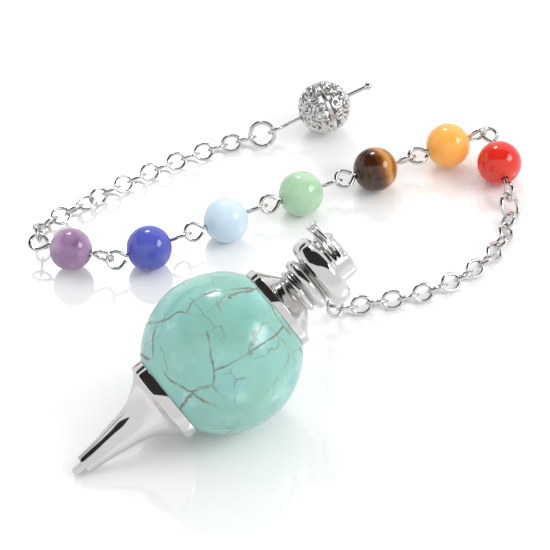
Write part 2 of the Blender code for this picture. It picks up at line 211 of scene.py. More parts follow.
class Paint(Graph):
    """The node tree of one material, with a Principled shader at its end."""

    def __init__(self, name: str, centre: Vector, turned: Matrix | None = None) -> None:
        """Starts a material.

        Args:
            name: the material's name.
            centre: the point that patterns are laid out from.
            turned: the axes that patterns are laid out along, as a rotation.
        """
        self.material = bpy.data.materials.new(name)
        self.material.use_nodes = True
        super().__init__(self.material.node_tree)
        self.shader = self.node("ShaderNodeBsdfPrincipled")
        end = self.node("ShaderNodeOutputMaterial")
        self.tree.links.new(self.shader.outputs[0], end.inputs["Surface"])
        axes = (turned or Matrix.Identity(3)).to_3x3().inverted()
        place = self.node("ShaderNodeTexCoord").outputs["Object"]
        mapping = self.node(
            "ShaderNodeMapping",
            {"vector_type": "POINT"},
            {"Vector": place, "Location": -(axes @ centre), "Rotation": axes.to_euler()},
        )
        self.place = mapping.outputs[0]

    def noise(self, size: float, detail: float = 3.0, place: Any = None, stretch: Vector | None = None) -> Term:
        """Soft noise from 0 to 1.

        Args:
            size: the size of its blotches in metres.
            detail: how many finer layers it has.
            place: the coordinates it reads, or None for the material's own.
            stretch: how much larger it is along each axis.

        Returns:
            The noise's value.
        """
        where = place or self.place
        if stretch is not None:
            where = self.vector("MULTIPLY", where, [1 / part for part in stretch])
        made = self.node("ShaderNodeTexNoise", None, {"Vector": where, "Scale": 1 / size, "Detail": detail})
        return self.term(made.outputs[0])

    def vector(self, operation: str, first: Any, second: Any) -> Any:
        """A Vector Math node's result."""
        return self.node("ShaderNodeVectorMath", {"operation": operation}, {0: first, 1: second}).outputs[0]

    def shaken(self, size: float, reach: float) -> Any:
        """The material's coordinates moved about by noise of this size, by up to half of reach."""
        made = self.node("ShaderNodeTexNoise", None, {"Vector": self.place, "Scale": 1 / size, "Detail": 4.0})
        moved = self.vector("SUBTRACT", made.outputs["Color"], (0.5, 0.5, 0.5))
        return self.vector("ADD", self.place, self.vector("MULTIPLY", moved, (reach, reach, reach)))

    def axis(self, index: int) -> Term:
        """One of the three coordinates, in metres."""
        made = self.node("ShaderNodeSeparateXYZ", None, {0: self.place})
        return self.term(made.outputs[index])

    def mix(self, factor: Any, under: Any, over: Any) -> Any:
        """A colour between under and over."""
        settings = {"data_type": "RGBA", "blend_type": "MIX"}
        return self.node("ShaderNodeMix", settings, {0: factor, 6: under, 7: over}).outputs[2]

    def ramp(self, value: Term, stops: Sequence[tuple[float, Colour]]) -> Any:
        """The colour of a value along these stops."""
        return self.node("ShaderNodeValToRGB", {"stops": stops}, {0: value}).outputs[0]

    def bump(self, height: Term, distance: float, strength: float = 1.0) -> None:
        """Gives the surface this relief."""
        made = self.node("ShaderNodeBump", None, {"Strength": strength, "Distance": distance, "Height": height})
        self.feed(self.shader.inputs["Normal"], made.outputs[0])

    def set(self, **values: Any) -> None:
        """Sets or links the shader's sockets, with _ for each space in a socket's name."""
        for name, value in values.items():
            self.feed(self.shader.inputs[name.replace("_", " ")], value)


# ------------------------------------------------------------------------------------------------ finishes


@dataclass(frozen=True)
class SilverPlate:
    """Bright silver plating, with the faint haze and hairlines of handling."""

    colour: Colour = (0.66, 0.65, 0.64)
    haze: float = 0.05

    def material(self, name: str, centre: Vector, size: float = 4 * MM) -> bpy.types.Material:
        """The plating for one piece.

        Args:
            name: the material's name.
            centre: a point on the piece.
            size: the size of the hazy patches.

        Returns:
            The material.
        """
        paint = Paint(name, centre)
        patches = paint.noise(size, 4.0)
        fine = paint.noise(size / 12, 2.0)
        paint.set(
            Base_Color=paint.mix(patches.rising(0.35, 0.75), self.colour, tuple(0.93 * part for part in self.colour)),
            Metallic=1.0,
            Roughness=self.haze + 0.07 * patches.rising(0.45, 0.8) + 0.03 * fine,
        )
        paint.bump(fine + 0.6 * patches, 0.004 * MM, 0.25)
        return paint.material


@dataclass(frozen=True)
class Turquoise:
    """Polished mint and cyan stone with brown crackle veins and small dark pits."""

    mint: Colour = linear(148, 200, 184)
    cyan: Colour = linear(134, 190, 188)
    pale: Colour = linear(172, 216, 206)
    deep: Colour = linear(116, 168, 160)
    vein: Colour = linear(122, 108, 84)
    pit: Colour = linear(88, 76, 48)

    def material(self, centre: Vector, turned: Matrix) -> bpy.types.Material:
        """The stone of the ball.

        Args:
            centre: the ball's centre.
            turned: the ball's own axes.

        Returns:
            The material.
        """
        paint = Paint("turquoise", centre, turned)
        blotch = paint.noise(7 * MM, 4.0)
        cloud = paint.noise(3.2 * MM, 5.0)
        wide = paint.noise(12 * MM, 2.0)
        colour = paint.mix(blotch.rising(0.36, 0.62), self.mint, self.cyan)
        colour = paint.mix(cloud.rising(0.52, 0.74) * 0.75, colour, self.pale)
        colour = paint.mix(wide.rising(0.56, 0.36) * 0.55, colour, self.deep)
        crack = self.crack(paint, 9.0 * MM, 2.2 * MM, 0.1 * MM) * paint.noise(6 * MM).rising(0.38, 0.5)
        hair = self.crack(paint, 5.4 * MM, 1.8 * MM, 0.05 * MM) * paint.noise(4 * MM).rising(0.48, 0.6) * 0.5
        pits = self.pits(paint)
        colour = paint.mix(crack * 0.85, colour, self.vein)
        colour = paint.mix(hair, colour, self.vein)
        colour = paint.mix(pits, colour, self.pit)
        paint.set(
            Base_Color=colour,
            Roughness=0.16 + 0.35 * crack + 0.3 * pits,
            Subsurface_Weight=0.12,
            Subsurface_Radius=(0.6, 1.0, 0.9),
            Subsurface_Scale=0.6 * MM,
        )
        paint.bump(cloud * 0.15 - crack - pits, 0.05 * MM, 0.5)
        return paint.material

    def crack(self, paint: Paint, size: float, shake: float, width: float) -> Term:
        """A net of crooked lines.

        Args:
            paint: the material they are drawn in.
            size: how far apart the lines are.
            shake: how crooked they are.
            width: half of a line's width.

        Returns:
            1 on a line and 0 off it.
        """
        cells = paint.node(
            "ShaderNodeTexVoronoi",
            {"feature": "DISTANCE_TO_EDGE"},
            {"Vector": paint.shaken(shake, shake * 0.62), "Scale": 1 / size, "Randomness": 1.0},
        )
        edge = width / size
        wander = paint.noise(1.6 * MM, 3.0)
        return paint.term(cells.outputs["Distance"]).rising(edge * 2.0, edge * 0.4) * wander.rising(0.3, 0.42)

    def pits(self, paint: Paint) -> Term:
        """Small ragged pits: 1 in a pit and 0 elsewhere."""
        cells = paint.node(
            "ShaderNodeTexVoronoi",
            {"feature": "F1"},
            {"Vector": paint.shaken(1.1 * MM, 0.9 * MM), "Scale": 1 / (5.2 * MM), "Randomness": 1.0},
        )
        few = paint.noise(5.5 * MM, 1.0).rising(0.5, 0.56)
        return paint.term(cells.outputs["Distance"]).rising(0.13, 0.07) * few


class Stone(Enum):
    """The seven beads, in the order that they hang in."""

    RED = "red"
    YELLOW = "yellow"
    TIGER_EYE = "tiger_eye"
    GREEN = "green"
    PALE_BLUE = "pale_blue"
    BLUE = "blue"
    VIOLET = "violet"


@dataclass(frozen=True)
class Glow:
    """The look of one clear bead stone: its clouds of colour and how far light goes into it."""

    body: Colour
    light: Colour
    deep: Colour
    depth: float = 1.2 * MM
    weight: float = 0.75
    cloud: float = 4.2 * MM
    veil: float = 0.25

    def material(self, stone: Stone, centre: Vector, turned: Matrix) -> bpy.types.Material:
        """The stone of one bead.

        Args:
            stone: which bead it is.
            centre: the bead's centre.
            turned: the bead's axes, Z along its hole.

        Returns:
            The material.
        """
        paint = Paint(f"{stone.value}_stone", centre, turned)
        clouds = paint.noise(self.cloud, 3.0)
        veils = paint.noise(1.1 * MM, 4.0, stretch=Vector((0.5, 1.0, 2.4)))
        colour = paint.mix(clouds.rising(0.45, 0.75) * 0.6, self.body, self.light)
        colour = paint.mix(clouds.rising(0.48, 0.26) * 0.6, colour, self.deep)
        colour = paint.mix(veils.rising(0.62, 0.76) * self.veil, colour, self.light)
        paint.set(
            Base_Color=colour,
            Roughness=0.05 + 0.04 * clouds,
            IOR=1.55,
            Subsurface_Weight=self.weight,
            Subsurface_Radius=(1.0, 0.8, 0.8),
            Subsurface_Scale=self.depth,
        )
        return paint.material


@dataclass(frozen=True)
class TigerEye:
    """Banded brown and gold stone with a silky sheen across its fibres."""

    dark: Colour = linear(58, 30, 14)
    brown: Colour = linear(112, 62, 22)
    gold: Colour = linear(206, 142, 58)

    def material(self, stone: Stone, centre: Vector, turned: Matrix) -> bpy.types.Material:
        """The stone of the bead, with its bands across the hole.

        Args:
            stone: which bead it is.
            centre: the bead's centre.
            turned: the bead's axes, Z along its hole.

        Returns:
            The material.
        """
        paint = Paint(f"{stone.value}_stone", centre, turned)
        bend = paint.noise(4 * MM, 2.0)
        along = paint.axis(2) * -190.0 + 0.5 + (bend - 0.5) * 0.45
        silk = paint.noise(0.8 * MM, 4.0, stretch=Vector((9.0, 9.0, 0.6)))
        stops = [(0.0, self.dark), (0.38, self.dark), (0.5, self.brown), (0.66, self.gold), (0.84, self.brown),
                 (1.0, self.gold)]
        colour = paint.mix(silk.rising(0.5, 0.8) * 0.3, paint.ramp(along, stops), self.gold)
        colour = paint.mix(silk.rising(0.48, 0.25) * 0.35, colour, self.dark)
        paint.set(Base_Color=colour, Roughness=0.07 + 0.08 * silk, IOR=1.55)
        return paint.material


STONES: dict[Stone, Any] = {
    Stone.RED: Glow(linear(218, 48, 32), linear(228, 66, 46), linear(196, 34, 26), 1.6 * MM, 0.85),
    Stone.YELLOW: Glow(linear(250, 176, 82), linear(252, 194, 110), linear(246, 160, 60), 1.8 * MM, 0.85),
    Stone.TIGER_EYE: TigerEye(),
    Stone.GREEN: Glow(linear(176, 209, 177), linear(190, 218, 190), linear(150, 194, 154), 1.3 * MM, 0.7),
    Stone.PALE_BLUE: Glow(linear(202, 222, 236), linear(214, 230, 242), linear(188, 212, 230), 1.3 * MM, 0.7),
    Stone.BLUE: Glow(linear(80, 88, 182), linear(98, 106, 196), linear(64, 70, 164), 1.0 * MM, 0.55),
    Stone.VIOLET: Glow(linear(152, 120, 157), linear(192, 166, 196), linear(106, 72, 116), 1.1 * MM, 0.6,
                       cloud=2.8 * MM, veil=0.8),
}


# ------------------------------------------------------------------------------------------------- shaping


def smooth_way(points: Sequence[Vector], count: int = 8) -> list[Vector]:
    """A smooth curve through these points, as short steps."""
    ends = [points[0] * 2 - points[1], *points, points[-1] * 2 - points[-2]]
    way = []
    for a, b, c, d in zip(ends, ends[1:], ends[2:], ends[3:]):
        for i in range(count):
            s = i / count
            square = (2 * a - 5 * b + 4 * c - d) * s**2
            way.append(0.5 * (2 * b + (c - a) * s + square + (3 * b - a - 3 * c + d) * s**3))
    return [*way, points[-1]]


@dataclass
class Outline:
    """A profile to turn, built up section by section as (radius, height) in millimetres."""

    points: list[Vector] = field(default_factory=list)

    def line(self, *points: tuple[float, float]) -> "Outline":
        """Adds straight runs through these points."""
        self.points.extend(Vector((*point, 0.0)) for point in points)
        return self

    def curve(self, *points: tuple[float, float]) -> "Outline":
        """Adds a smooth run through these points."""
        self.points.extend(smooth_way([Vector((*point, 0.0)) for point in points]))
        return self

    def arc(self, centre: tuple[float, float], radius: float, start: float, end: float, count: int) -> "Outline":
        """Adds an arc between two angles in degrees, counted from the height axis."""
        for i in range(count + 1):
            angle = math.radians(start + (end - start) * i / count)
            self.points.append(
                Vector((centre[0] + radius * math.sin(angle), centre[1] + radius * math.cos(angle), 0.0))
            )
        return self

    def softened(self, reach: float) -> list[Vector]:
        """The profile with each sharp corner cut to a small round of this reach."""
        done = [self.points[0]]
        for before, at, after in zip(self.points, self.points[1:], self.points[2:]):
            back, ahead = before - at, after - at
            if back.length < 1e-6 or ahead.length < 1e-6:
                continue
            if math.pi - back.angle(ahead) < math.radians(25):
                done.append(at)
                continue
            room = min(reach, back.length / 2, ahead.length / 2)
            first, last = at + back.normalized() * room, at + ahead.normalized() * room
            for i in range(4):
                s = i / 3
                done.append(first * (1 - s) ** 2 + at * 2 * s * (1 - s) + last * s**2)
        return [*done, self.points[-1]]


def turned_mesh(name: str, outline: Outline, frame: Matrix, steps: int = 96, ring: bool = False,
                soften: float = 0.07) -> bpy.types.Mesh:
    """Turns a profile round the Z axis of a frame into a closed body.

    Args:
        name: the mesh's name.
        outline: the profile.
        frame: the frame that it is turned in.
        steps: how many steps it is turned in.
        ring: whether the profile closes on itself, off the axis.
        soften: the reach of its small corner rounds, in millimetres.

    Returns:
        The mesh, in the model's frame.
    """
    made = bmesh.new()
    places = [Vector((max(p.x, 0.0) * MM, 0.0, p.y * MM)) for p in outline.softened(soften)]
    verts = [made.verts.new(place) for place in places]
    edges = [made.edges.new(pair) for pair in zip(verts, verts[1:])]
    if ring:
        edges.append(made.edges.new((verts[-1], verts[0])))
    bmesh.ops.spin(made, geom=[*verts, *edges], cent=(0, 0, 0), axis=(0, 0, 1), angle=2 * math.pi, steps=steps,
                   use_merge=True)
    return finished(made, name, frame, 0.0005 * MM)


def finished(made: bmesh.types.BMesh, name: str, frame: Matrix, merge: float) -> bpy.types.Mesh:
    """A bmesh as a smooth mesh in the model's frame, merged and facing out."""
    bmesh.ops.remove_doubles(made, verts=made.verts, dist=merge)
    bmesh.ops.dissolve_degenerate(made, edges=made.edges, dist=merge / 4)
    bmesh.ops.recalc_face_normals(made, faces=made.faces)
    mesh = bpy.data.meshes.new(name)
    made.to_mesh(mesh)
    made.free()
    mesh.transform(frame)
    mesh.shade_smooth()
    mesh.set_sharp_from_angle(angle=math.radians(38))
    return mesh


def wire_mesh(name: str, runs: Iterable[Sequence[Vector]], wire: float, frame: Matrix, sides: int = 3,
              cyclic: bool = False, swell: Sequence[float] | None = None) -> bpy.types.Mesh:
    """Round wires along these runs of points.

    Args:
        name: the mesh's name.
        runs: the runs, in the frame's own axes.
        wire: the wire's diameter.
        frame: the frame they are laid in.
        sides: the fineness of the wire's round.
        cyclic: whether each run closes on itself.
        swell: the wire's thickness at each point, as a share.

    Returns:
        The mesh, in the model's frame.
    """
    curve = bpy.data.curves.new(name, "CURVE")
    curve.dimensions = "3D"
    curve.bevel_depth = wire / 2
    curve.bevel_resolution = sides
    curve.use_fill_caps = not cyclic
    for run in runs:
        spline = curve.splines.new("POLY")
        spline.points.add(len(run) - 1)
        for index, point in enumerate(run):
            spline.points[index].co = (*point, 1.0)
            spline.points[index].radius = swell[index] if swell else 1.0
        spline.use_cyclic_u = cyclic
    holder = bpy.data.objects.new(name, curve)
    bpy.context.scene.collection.objects.link(holder)
    shape = holder.evaluated_get(bpy.context.evaluated_depsgraph_get())
    mesh = bpy.data.meshes.new_from_object(shape)
    bpy.data.objects.remove(holder)
    bpy.data.curves.remove(curve)
    mesh.transform(frame)
    mesh.name = name
    made = bmesh.new()
    made.from_mesh(mesh)
    bmesh.ops.remove_doubles(made, verts=made.verts, dist=0.0005 * MM)
    bmesh.ops.recalc_face_normals(made, faces=made.faces)
    made.to_mesh(mesh)
    made.free()
    mesh.shade_smooth()
    mesh.set_sharp_from_angle(angle=math.radians(50))
    return mesh


def grown(name: str, tree: bpy.types.NodeTree, base: bpy.types.Mesh, values: dict[str, Any],
          frame: Matrix) -> bpy.types.Mesh:
    """Runs a Geometry Nodes tree on a mesh.

    Args:
        name: the new mesh's name.
        tree: the tree.
        base: the mesh that it starts from.
        values: the tree's input names and their values.
        frame: the frame that the result is laid in.

    Returns:
        The result as a plain mesh in the model's frame.
    """
    holder = bpy.data.objects.new(name, base)
    bpy.context.scene.collection.objects.link(holder)
    grow = holder.modifiers.new(tree.name, "NODES")
    grow.node_group = tree
    identifiers = {item.name: item.identifier for item in tree.interface.items_tree if item.in_out == "INPUT"}
    for key, value in values.items():
        grow[identifiers[key]] = value
    bpy.context.view_layer.update()
    shape = holder.evaluated_get(bpy.context.evaluated_depsgraph_get())
    mesh = bpy.data.meshes.new_from_object(shape)
    bpy.data.objects.remove(holder)
    mesh.transform(frame)
    mesh.name = name
    return mesh


class GeometryTree(Graph):
    """A Geometry Nodes tree with named inputs, ending in Realize Instances and Set Material."""

    def __init__(self, name: str, inputs: dict[str, tuple[str, Any]]) -> None:
        """Starts the tree.

        Args:
            name: the tree's name.
            inputs: each input's name to its socket type and default.
        """
        super().__init__(bpy.data.node_groups.new(name, "GeometryNodeTree"))
        self.tree.interface.new_socket("Geometry", in_out="INPUT", socket_type="NodeSocketGeometry")
        for key, (kind, default) in inputs.items():
            made = self.tree.interface.new_socket(key, in_out="INPUT", socket_type=kind)
            if default is not None:
                made.default_value = default
        self.tree.interface.new_socket("Geometry", in_out="OUTPUT", socket_type="NodeSocketGeometry")
        self.given = self.node("NodeGroupInput")

    def end(self, shape: Any) -> bpy.types.NodeTree:
        """Realizes the shape, gives it the input material and closes the tree."""
        real = self.node("GeometryNodeRealizeInstances", None, {0: shape})
        smooth = self.node("GeometryNodeSetShadeSmooth", None, {0: real.outputs[0]})
        dressed = self.node(
            "GeometryNodeSetMaterial", None, {"Geometry": smooth.outputs[0], "Material": self.given.outputs["Finish"]}
        )
        self.node("NodeGroupOutput", None, {0: dressed.outputs[0]})
        return self.tree


def wire_ring_tree() -> bpy.types.NodeTree:
    """The tree of an oval wire ring with a fine cut in it, in the XY plane about the origin."""
    length = "NodeSocketFloat"
    tree = GeometryTree("wire_ring", {
        "Half Length": (length, 1.3 * MM), "Half Width": (length, 1.1 * MM), "Wire": (length, 0.45 * MM),
        "Cut At": (length, 0.0), "Cut": (length, 0.04), "Steps": ("NodeSocketInt", 56),
        "Sides": ("NodeSocketInt", 14), "Finish": ("NodeSocketMaterial", None),
    })
    given = {item.name: tree.term(item) for item in tree.given.outputs if item.name}
    arc = tree.node("GeometryNodeCurveArc", {"mode": "RADIUS"}, {
        "Resolution": given["Steps"], "Radius": 1.0, "Start Angle": given["Cut At"] + given["Cut"] / 2,
        "Sweep Angle": 2 * math.pi - given["Cut"],
    })
    scale = tree.node("ShaderNodeCombineXYZ", None, {0: given["Half Length"], 1: given["Half Width"], 2: 1.0})
    oval = tree.node("GeometryNodeTransform", None, {"Geometry": arc.outputs[0], "Scale": scale.outputs[0]})
    round_wire = tree.node("GeometryNodeCurvePrimitiveCircle", {"mode": "RADIUS"}, {
        "Resolution": given["Sides"], "Radius": given["Wire"] / 2,
    })
    swept = tree.node("GeometryNodeCurveToMesh", None, {
        "Curve": oval.outputs[0], "Profile Curve": round_wire.outputs[0], "Fill Caps": True,
    })
    return tree.end(swept.outputs[0])


def gore_tree() -> bpy.types.NodeTree:
    """The tree that repeats one gore of a pierced dome round the Z axis, and again on the other half."""
    tree = GeometryTree("filigree_gores", {
        "Gores": ("NodeSocketInt", 6), "Half Turn": ("NodeSocketFloat", 0.5), "Finish": ("NodeSocketMaterial", None),
    })
    given = {item.name: tree.term(item) for item in tree.given.outputs if item.name and item.name != "Geometry"}
    points = tree.node("GeometryNodePoints", None, {"Count": given["Gores"], "Radius": 1 * MM})
    number = tree.term(tree.node("GeometryNodeInputIndex").outputs[0])
    spun = tree.node("ShaderNodeCombineXYZ", None, {0: 0.0, 1: 0.0, 2: number * 2 * math.pi / given["Gores"]})
    dome = tree.node("GeometryNodeInstanceOnPoints", None, {
        "Points": points.outputs[0], "Instance": tree.given.outputs["Geometry"], "Rotation": spun.outputs[0],
    })
    over = tree.node("ShaderNodeCombineXYZ", None, {
        0: math.pi, 1: 0.0, 2: given["Half Turn"] * 2 * math.pi / given["Gores"],
    })
    below = tree.node("GeometryNodeTransform", None, {"Geometry": dome.outputs[0], "Rotation": over.outputs[0]})
    both = tree.node("GeometryNodeJoinGeometry")
    tree.tree.links.new(dome.outputs[0], both.inputs[0])
    tree.tree.links.new(below.outputs[0], both.inputs[0])
    return tree.end(both.outputs[0])


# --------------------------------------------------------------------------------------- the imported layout


@dataclass(frozen=True)
class Pivot:
    """One packed joint: where its piece hangs, its axis and the piece that it hangs on."""

    child: str
    parent: str
    place: Vector
    axis: Vector


class Layout:
    """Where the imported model's pieces are."""

    def __init__(self, joints: Sequence[dict[str, Any]]) -> None:
        """Reads the joints."""
        self.pivots = {
            joint["child"]: Pivot(joint["child"], joint["parent"], Vector(joint["pos_m"]), Vector(joint["axis"]))
            for joint in joints
        }

    def centre(self, node: str) -> Vector:
        """The middle of a node's box."""
        low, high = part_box(node)
        return (low + high) / 2

    def next_pivot(self, name: str) -> Pivot | None:
        """The pivot of the chain piece that hangs on this one, if there is one."""
        spun = ("bead_", "filigree_ball")
        return next((p for p in self.pivots.values() if p.parent == name and not p.child.startswith(spun)), None)

    @staticmethod
    def frame(place: Vector, along: Vector, across: Vector) -> Matrix:
        """A frame at a place: X along, Y as close to across as X allows."""
        side = (across - across.dot(along) * along).normalized()
        return Matrix.Translation(place) @ Matrix((along, side, along.cross(side))).transposed().to_4x4()

    def ring_frame(self, name: str) -> Matrix:
        """The frame of a ring at its middle: X from its pivot to the next piece's, Y across it in its plane."""
        here, ahead = self.pivots[name], self.next_pivot(name)
        along = (ahead.place - here.place).normalized()
        return self.frame(self.centre(name), along, ahead.axis)

    def pin_frame(self, name: str, spun: str) -> Matrix:
        """The frame of a pin at the middle of its bead: X along it, Y in the plane of its near eye."""
        spin = self.pivots[spun]
        ahead = self.next_pivot(name)
        along = spin.axis.normalized()
        if ahead is None:
            right = along.cross(Vector((0, 0, 1))).normalized()
            normal = (right.cross(along) - right).normalized()
        else:
            normal = ahead.axis
        normal = (normal - normal.dot(along) * along).normalized()
        return self.frame(spin.place, along, normal.cross(along))


def show(name: str, mesh: bpy.types.Mesh, finish: bpy.types.Material, body: str, nodes: Sequence[str]) -> bpy.types.Object:
    """Makes a piece of a finished mesh.

    Args:
        name: the piece's name.
        mesh: its mesh, in the model's frame.
        finish: its material.
        body: the body that it rides on.
        nodes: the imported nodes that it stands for.

    Returns:
        The piece.
    """
    mesh.materials.clear()
    mesh.materials.append(finish)
    piece = bpy.data.objects.new(name, mesh)
    bpy.context.scene.collection.objects.link(piece)
    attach(piece, body)
    if nodes:
        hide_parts(*nodes)
    LOG.info("%s: %d faces on %s", name, len(mesh.polygons), body)
    return piece


# ----------------------------------------------------------------------------------------------- the pieces


@dataclass
class Pendulum:
    """The stone ball between its turned caps, and the split ring in the knob. Sizes are in millimetres."""

    layout: Layout
    radius: float = 9.8
    bore: float = 1.6
    lean: float = 24.0
    heading: float = 32.0
    slot_turn: float = 37.0
    slot_level: float = 18.05
    slot_offset: float = 0.65
    split_radius: float = 2.55
    split_wire: float = 0.5
    split_pitch: float = 0.58
    split_offset: float = 2.6
    split_end: float = 100.0
    plate: SilverPlate = field(default_factory=SilverPlate)

    def frame(self) -> Matrix:
        """The ball's frame: Z along the axis to the knob, X down across the axis."""
        lean, heading = math.radians(self.lean), math.radians(self.heading)
        axis = Vector((math.cos(lean) * math.cos(heading), math.cos(lean) * math.sin(heading), math.sin(lean)))
        across = Vector((0, 0, 1)).cross(axis).normalized()
        turned = Matrix((across.cross(axis), across, axis)).transposed().to_4x4()
        return Matrix.Translation(self.layout.centre("stone_ball")) @ turned

    def ring_frame(self) -> Matrix:
        """The split ring's frame, beside the knob."""
        turn = Matrix.Rotation(math.radians(self.slot_turn), 4, "Z")
        return self.frame() @ turn @ Matrix.Translation((0, self.split_offset * MM, self.slot_level * MM))

    def build(self) -> None:
        """Makes the ball, both caps and the split ring."""
        frame = self.frame()
        mouth = math.degrees(math.asin(self.bore / self.radius))
        ball = Outline().arc((0, 0), self.radius, mouth, 180 - mouth, 90)
        mesh = turned_mesh("stone_ball", ball, frame, 128, ring=True, soften=0.2)
        stone = Turquoise().material(frame.translation, frame)
        show("turquoise_ball", mesh, stone, "pendulum", ["stone_ball"])
        silver = self.plate.material("silver_caps", frame.translation, 6 * MM)
        point = turned_mesh("point", self.point_outline(), frame, 128)
        show("pointed_cap", point, silver, "pendulum", ["point_cap"])
        knob = self.slotted(turned_mesh("knob", self.knob_outline(), frame, 128))
        show("knob_cap", knob, silver, "pendulum", ["top_cap"])
        ring = wire_mesh("split_ring", [self.split_run()], self.split_wire * MM, self.ring_frame(), 5)
        show("split_ring_wire", ring, silver, "split_ring", ["split_ring"])

    def cup(self, rim: float = 5.5) -> float:
        """The angle of a cap's rim from the axis, in degrees."""
        return math.degrees(math.asin(rim / (self.radius + 0.04)))

    def point_outline(self) -> Outline:
        """The pointed cap from the bottom of its cup round to the tip of its nib."""
        outline = Outline().arc((0, 0), self.radius + 0.04, 180, 180 - self.cup(), 24)
        outline.line((5.52, -8.2), (5.55, -9.5), (5.4, -9.62))
        outline.curve((5.15, -9.68), (4.25, -10.3), (3.45, -11.3), (2.7, -12.6), (2.25, -14.0), (1.98, -15.6),
                      (1.7, -17.2), (1.46, -18.8), (1.22, -21.3))
        return outline.line((0.66, -21.36), (0.6, -21.5), (0.5, -22.6), (0.36, -22.86), (0.0, -22.9))

    def knob_outline(self) -> Outline:
        """The knob cap from its flat end, over the disc and the ribs, to the bottom of its cup."""
        outline = Outline().line((0.0, 19.2), (1.9, 19.2))
        outline.curve((2.2, 19.15), (2.55, 18.95), (2.72, 18.6), (2.75, 18.2))
        outline.line((2.75, 16.86), (3.8, 16.8))
        outline.curve((4.05, 16.74), (4.42, 16.38), (4.6, 15.8), (4.6, 15.05), (4.4, 14.5), (4.0, 14.17))
        outline.line((3.85, 14.12), (2.75, 14.06), (2.65, 13.9))
        outline.curve((2.95, 13.84), (3.32, 13.6), (3.5, 13.25), (3.5, 12.88), (3.28, 12.5), (2.95, 12.32))
        outline.line((2.52, 12.26))
        outline.curve((2.66, 12.18), (2.88, 12.02), (2.95, 11.74), (2.86, 11.48), (2.62, 11.36))
        outline.line((2.5, 11.3))
        outline.curve((2.62, 11.2), (2.85, 11.02), (3.35, 10.62), (4.1, 10.0), (5.0, 9.36))
        outline.line((5.15, 9.24), (5.5, 9.16), (5.52, 8.2))
        return outline.arc((0, 0), self.radius + 0.04, self.cup(), 0, 24)

    def slotted(self, mesh: bpy.types.Mesh) -> bpy.types.Mesh:
        """The knob with its slot cut through."""
        box = bmesh.new()
        bmesh.ops.create_cube(box, size=1.0, matrix=Matrix.Diagonal((8 * MM, 2.6 * MM, 1.8 * MM, 1)))
        long_edges = [edge for edge in box.edges if abs(edge.verts[0].co.x - edge.verts[1].co.x) > MM]
        bmesh.ops.bevel(box, geom=long_edges, offset=0.5 * MM, segments=6, profile=0.5, affect="EDGES")
        turn = Matrix.Rotation(math.radians(self.slot_turn), 4, "Z")
        place = self.frame() @ turn @ Matrix.Translation((0, self.slot_offset * MM, self.slot_level * MM))
        cutter = bpy.data.objects.new("slot", finished(box, "slot", place, 0.001 * MM))
        holder = bpy.data.objects.new("knob", mesh)
        for made in (cutter, holder):
            bpy.context.scene.collection.objects.link(made)
        cut = holder.modifiers.new("slot", "BOOLEAN")
        cut.operation, cut.solver, cut.object = "DIFFERENCE", "EXACT", cutter
        edge = holder.modifiers.new("edge", "BEVEL")
        edge.width, edge.segments, edge.limit_method, edge.angle_limit = 0.05 * MM, 2, "ANGLE", math.radians(50)
        bpy.context.view_layer.update()
        shape = holder.evaluated_get(bpy.context.evaluated_depsgraph_get())
        result = bpy.data.meshes.new_from_object(shape)
        bpy.data.objects.remove(holder)
        bpy.data.objects.remove(cutter)
        result.shade_smooth()
        result.set_sharp_from_angle(angle=math.radians(38))
        return result

    def split_run(self) -> list[Vector]:
        """The two turns of the split ring's wire."""
        run = []
        count = 140
        for i in range(count + 1):
            turned = 2 * i / count
            angle = 2 * math.pi * turned + math.radians(self.split_end)
            rise = self.split_pitch * (turned - 1.0)
            run.append(Vector((self.split_radius * math.cos(angle), self.split_radius * math.sin(angle), rise)) * MM)
        return run


@dataclass(frozen=True)
class RingSize:
    """The outer length, outer width and wire of a ring, and where its cut is, in millimetres and degrees."""

    length: float
    width: float
    wire: float
    cut_at: float = 90.0
    cut: float = 2.0


@dataclass
class Chain:
    """Every ring and link of the chain."""

    layout: Layout
    plate: SilverPlate = field(default_factory=SilverPlate)
    link: RingSize = RingSize(3.08, 2.6, 0.48)
    sizes: dict[str, RingSize] = field(default_factory=lambda: {
        "hanger_link": RingSize(5.7, 3.2, 0.55),
        "hanger_ring_1": RingSize(5.4, 5.4, 0.65),
        "hanger_ring_2": RingSize(5.4, 5.4, 0.65),
        "hanger_loop": RingSize(4.3, 3.3, 0.55),
        "jump_ring_1": RingSize(3.0, 3.0, 0.5, 80.0, 4.0),
        "jump_ring_2": RingSize(3.9, 3.9, 0.6, 75.0, 4.0),
        "jump_ring_3": RingSize(3.9, 3.9, 0.6, 285.0, 4.0),
    })

    def build(self) -> None:
        """Makes one piece for each ring of the chain."""
        tree = wire_ring_tree()
        silver = self.plate.material("silver_chain", self.layout.centre("chain_a_01"), 3 * MM)
        for name in self.names():
            size = self.sizes.get(name, self.link)
            values = {
                "Half Length": (size.length - size.wire) / 2 * MM, "Half Width": (size.width - size.wire) / 2 * MM,
                "Wire": size.wire * MM, "Cut At": math.radians(size.cut_at), "Cut": math.radians(size.cut),
                "Finish": silver,
            }
            base = bpy.data.meshes.new(name)
            mesh = grown(name, tree, base, values, self.layout.ring_frame(name))
            mesh.set_sharp_from_angle(angle=math.radians(50))
            show(f"{name}_wire", mesh, silver, name, [name])

    def names(self) -> list[str]:
        """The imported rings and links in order."""
        found = [name for name in self.layout.pivots if name.startswith(("hanger", "jump_ring", "chain_"))]
        return [name for name in found if name != "split_ring"]


